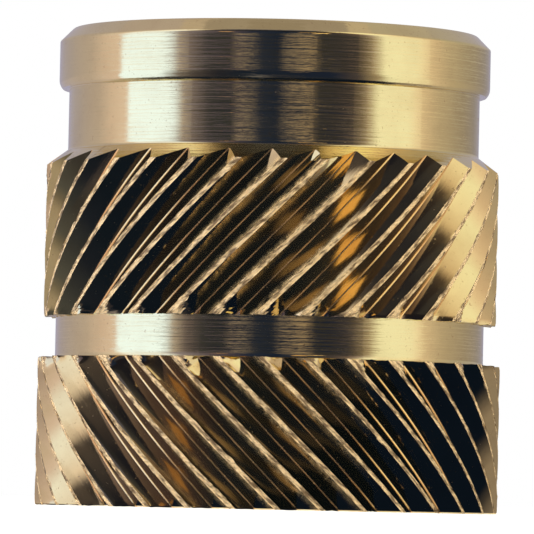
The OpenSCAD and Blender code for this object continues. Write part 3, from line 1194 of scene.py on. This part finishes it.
def tent_arc(elevations, radius):
    """The (radius, height) points of an arc of the tent."""
    low, high = elevations
    count = max(2, ceil((high - low) / ARC_STEP))
    angles = [radians(low + (high - low) * i / count) for i in range(count + 1)]
    return [(max(radius * cos(angle), POLE_R), radius * sin(angle)) for angle in angles]


def add_tent(studio):
    """The light tent, which the camera doesn't see, and the rings on the floor."""
    material = glow_material()
    for rings, share in ((TENT_RINGS, 1.0), (TENT_LAMPS, LAMP_SHARE)):
        for name, (elevations, stops) in rings.items():
            bm = sweep_ring(tent_arc(elevations, studio.tent_radius * share), stops)
            stage_object(name, bm, material, ("diffuse", "glossy"))
    elevations, stops = FILL_LAMP
    bm = sweep_ring(tent_arc(elevations, studio.tent_radius * LAMP_SHARE), stops)
    stage_object("fill_lamp", bm, material, ("diffuse",))
    for name, (radii, stops) in FLOOR_RINGS.items():
        bm = sweep_ring([(radius, FLOOR_RING_LIFT) for radius in radii], stops)
        stage_object(name, bm, material, ("glossy",))


def shown_directly(tree):
    """1 for rays from the camera and off shiny or through clear surfaces, and 0 for the rest."""
    rays = add_node(tree, "LightPath").outputs
    seen = math_node(tree, "MAXIMUM", rays["Is Camera Ray"], rays["Is Glossy Ray"])
    return math_node(tree, "MAXIMUM", seen, rays["Is Transmission Ray"])


def add_floor(studio):
    """Pale paper that shows white and keeps a soft shadow."""
    bm = bmesh.new()
    bmesh.ops.create_grid(bm, x_segments=1, y_segments=1, size=studio.floor_size / 2)
    material = bpy.data.materials.new("paper_floor")
    tree = empty_tree(material)
    glow = add_node(tree, "Emission", None, Color=(*studio.paper, 1), Strength=FLOOR_GLOW)
    matt = add_node(tree, "BsdfDiffuse", None, Color=(*[FLOOR_SHADED] * 3, 1))
    shown = add_node(tree, "AddShader", None, _0=glow.outputs[0], _1=matt.outputs[0])
    plain = add_node(tree, "BsdfDiffuse", None, Color=(*[FLOOR_PLAIN] * 3, 1))
    seen = shown_directly(tree)
    mixed = add_node(tree, "MixShader", None, _0=seen, _1=plain.outputs[0], _2=shown.outputs[0])
    add_node(tree, "OutputMaterial", None, Surface=mixed.outputs[0])
    stage_object("floor", bm, material, ("camera", "diffuse", "glossy", "transmission", "shadow"))


def light_world(studio):
    """A white background that lights matt things only softly."""
    world = bpy.data.worlds.new("paper_world")
    bpy.context.scene.world = world
    tree = empty_tree(world)
    strength = stretch(tree, shown_directly(tree), 0.0, 1.0, WORLD_LIGHT, 1.0)
    light = add_node(tree, "Background", None, Color=(*studio.paper, 1), Strength=strength)
    add_node(tree, "OutputWorld", None, Surface=light.outputs[0])


def aim_camera(studio):
    """A long lens close to the floor, looking a little up."""
    data = bpy.data.cameras.new("camera")
    data.sensor_width = 36.0
    data.angle = studio.camera_field
    data.clip_start = 0.005
    data.clip_end = 5.0
    camera = bpy.data.objects.new("camera", data)
    camera.location = (0.0, -studio.camera_distance, studio.camera_height)
    target = Vector((studio.aim_side, 0.0, studio.aim_height))
    look = (target - camera.location).to_track_quat("-Z", "Y")
    camera.rotation_mode = "QUATERNION"
    camera.rotation_quaternion = look @ Matrix.Rotation(studio.camera_roll, 3, "Z").to_quaternion()
    bpy.context.scene.collection.objects.link(camera)
    bpy.context.scene.camera = camera


# ---------------------------------------------------------------------------------------------
# Operators and panel
# ---------------------------------------------------------------------------------------------


class INSERT_OT_body(bpy.types.Operator):
    """Build the turned and knurled brass insert"""

    bl_idname = "threaded_insert.body"
    bl_label = "Insert Body"
    bl_options = {"REGISTER", "UNDO"}

    def execute(self, context):
        scene = context.scene
        mesh = make_body(scene.insert_sizes, scene.insert_wear)
        if not mesh.polygons:
            raise RuntimeError("the insert's body came out empty")
        for material in make_materials(scene.insert_finish):
            mesh.materials.append(material)
        body = bpy.data.objects.new("insert_body", mesh)
        scene.collection.objects.link(body)
        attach(body, "root")
        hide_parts("insert")
        return {"FINISHED"}


class INSERT_OT_stage(bpy.types.Operator):
    """Build the paper floor, the light tent and the camera"""

    bl_idname = "threaded_insert.stage"
    bl_label = "Studio"
    bl_options = {"REGISTER", "UNDO"}

    def execute(self, context):
        studio = context.scene.insert_studio
        add_floor(studio)
        add_tent(studio)
        light_world(studio)
        aim_camera(studio)
        context.scene.view_settings.view_transform = "Standard"
        return {"FINISHED"}


class INSERT_PT_panel(bpy.types.Panel):
    """Sizes, finish and the pieces of the threaded insert"""

    bl_idname = "INSERT_PT_panel"
    bl_label = "Threaded Insert"
    bl_space_type = "VIEW_3D"
    bl_region_type = "UI"
    bl_category = "Insert"

    def draw(self, context):
        scene = context.scene
        for settings in (scene.insert_sizes, scene.insert_wear, scene.insert_finish, scene.insert_studio):
            box = self.layout.box()
            for name in settings.__annotations__:
                box.prop(settings, name)
        self.layout.operator(INSERT_OT_body.bl_idname)
        self.layout.operator(INSERT_OT_stage.bl_idname)


SETTINGS = {
    "insert_sizes": InsertSizes,
    "insert_wear": InsertWear,
    "insert_finish": InsertFinish,
    "insert_studio": InsertStudio,
}
CLASSES = (*SETTINGS.values(), INSERT_OT_body, INSERT_OT_stage, INSERT_PT_panel)


def register():
    for cls in CLASSES:
        bpy.utils.register_class(cls)
    for name, cls in SETTINGS.items():
        setattr(bpy.types.Scene, name, PointerProperty(type=cls))


def unregister():
    for name in SETTINGS:
        delattr(bpy.types.Scene, name)
    for cls in reversed(CLASSES):
        bpy.utils.unregister_class(cls)


def main():
    register()
    bpy.ops.threaded_insert.body()
    bpy.ops.threaded_insert.stage()


if __name__ == "__main__":
    main()
